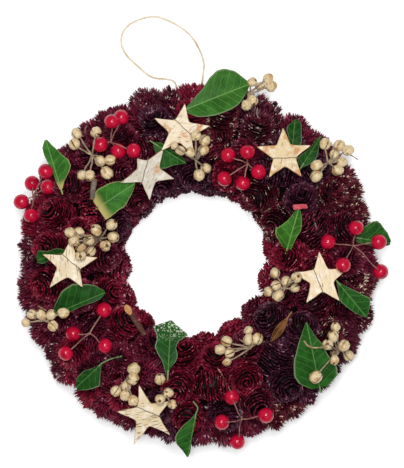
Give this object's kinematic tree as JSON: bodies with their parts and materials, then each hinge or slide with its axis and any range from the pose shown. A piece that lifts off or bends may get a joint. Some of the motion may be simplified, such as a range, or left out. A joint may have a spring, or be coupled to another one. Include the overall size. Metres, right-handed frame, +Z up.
{
  "type": "pinecone wreath",
  "caption": "Round decorative wreath of small cones on a willow ring, with bark stars, leaves, berries, nut sprigs and a twine loop; lies flat on its back.",
  "frame": {"origin": "centre of the wreath's box (without the twine loop) on the plane of its flat back", "axes": "+Z up out of the front of the wreath, +Y towards the twine hanging loop, +X to the right seen from the front"},
  "size_m": [0.3044, 0.3577, 0.079],
  "materials": {
    "willow": "peeled and unpeeled willow rods, matt",
    "cone_scales": "burgundy-dyed cones, semi-gloss",
    "birch_bark": "birch bark, matt with grain",
    "iron_wire": "dark annealed wire, satin",
    "salal_leaf": "preserved green leaf, satin",
    "red_lacquer": "bright red lacquer, high gloss",
    "tallow_nut": "waxy ivory nut, matt",
    "twig_bark": "brown twig bark, matt",
    "dry_leaf": "dry brown leaf, matt",
    "dyed_bark": "red-dyed bark chip, matt",
    "jute": "twisted natural jute"
  },
  "bodies": {
    "root": {"base_ring": "willow", "cone_cluster_01": "cone_scales", "cone_cluster_02": "cone_scales", "cone_cluster_03": "cone_scales", "cone_cluster_04": "cone_scales", "cone_cluster_05": "cone_scales", "cone_cluster_06": "cone_scales", "cone_cluster_07": "cone_scales", "cone_cluster_08": "cone_scales", "cone_cluster_09": "cone_scales", "cone_cluster_10": "cone_scales", "birch_star_1": "birch_bark", "birch_star_2": "birch_bark", "birch_star_3": "birch_bark", "birch_star_4": "birch_bark", "birch_star_5": "birch_bark", "birch_star_6": "birch_bark", "star_wire_1": "iron_wire", "star_wire_2": "iron_wire", "star_wire_3": "iron_wire", "star_wire_4": "iron_wire", "star_wire_5": "iron_wire", "star_wire_6": "iron_wire", "salal_leaf_01": "salal_leaf", "salal_leaf_02": "salal_leaf", "salal_leaf_03": "salal_leaf", "salal_leaf_04": "salal_leaf", "salal_leaf_05": "salal_leaf", "salal_leaf_06": "salal_leaf", "salal_leaf_07": "salal_leaf", "salal_leaf_08": "salal_leaf", "salal_leaf_09": "salal_leaf", "salal_leaf_10": "salal_leaf", "salal_leaf_11": "salal_leaf", "salal_leaf_12": "salal_leaf", "salal_leaf_13": "salal_leaf", "salal_leaf_14": "salal_leaf", "salal_leaf_15": "salal_leaf", "red_berry_sprig_1": "red_lacquer", "red_berry_sprig_2": "red_lacquer", "red_berry_sprig_3": "red_lacquer", "red_berry_sprig_4": "red_lacquer", "red_berry_sprig_5": "red_lacquer", "red_berry_sprig_6": "red_lacquer", "nut_sprig_01": "tallow_nut", "nut_sprig_02": "tallow_nut", "nut_sprig_03": "tallow_nut", "nut_sprig_04": "tallow_nut", "nut_sprig_05": "tallow_nut", "nut_sprig_06": "tallow_nut", "nut_sprig_07": "tallow_nut", "nut_sprig_08": "tallow_nut", "nut_sprig_09": "tallow_nut", "nut_sprig_10": "tallow_nut", "nut_sprig_11": "tallow_nut", "twig_stub": "twig_bark", "cut_stick": "twig_bark", "dry_leaf": "dry_leaf", "bark_chip": "dyed_bark", "hanging_twine": "jute"}
  },
  "joints": []
}
